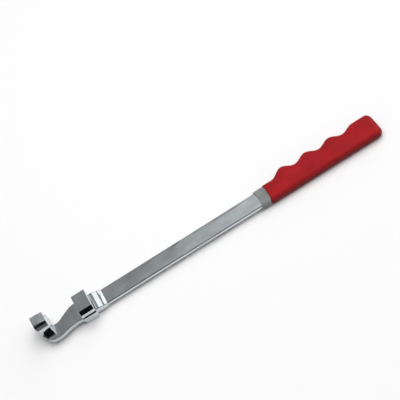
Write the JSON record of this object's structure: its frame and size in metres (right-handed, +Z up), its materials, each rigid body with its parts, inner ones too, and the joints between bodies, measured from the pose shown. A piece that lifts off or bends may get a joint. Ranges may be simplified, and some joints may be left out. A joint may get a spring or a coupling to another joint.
{
  "type": "spanner extender",
  "caption": "Flat lever bar with a forged hook head, whose upright post and slotted lug hold a spanner, and a moulded grip with finger grooves.",
  "frame": {"origin": "on the bar's centreline, in the middle of the lug's foot, the face that the head rests on", "axes": "+X along the bar towards the grip, +Y towards the finger grooves, +Z up off the broad face"},
  "size_m": [0.3851, 0.0317, 0.0259],
  "materials": {
    "chromed_forging": "bright chrome over a forged surface",
    "chromed_weld": "dressed weld under bright chrome",
    "chromed_bar": "bright chrome over a drawn bar",
    "grey_plastic": "moulded, matte",
    "red_rubber": "soft moulded grip, matte"
  },
  "bodies": {
    "root": {"hook_head": "chromed_forging", "joint_weld": "chromed_weld", "shank_bar": "chromed_bar", "grip_core": "grey_plastic", "grip_sleeve": "red_rubber"}
  },
  "joints": []
}
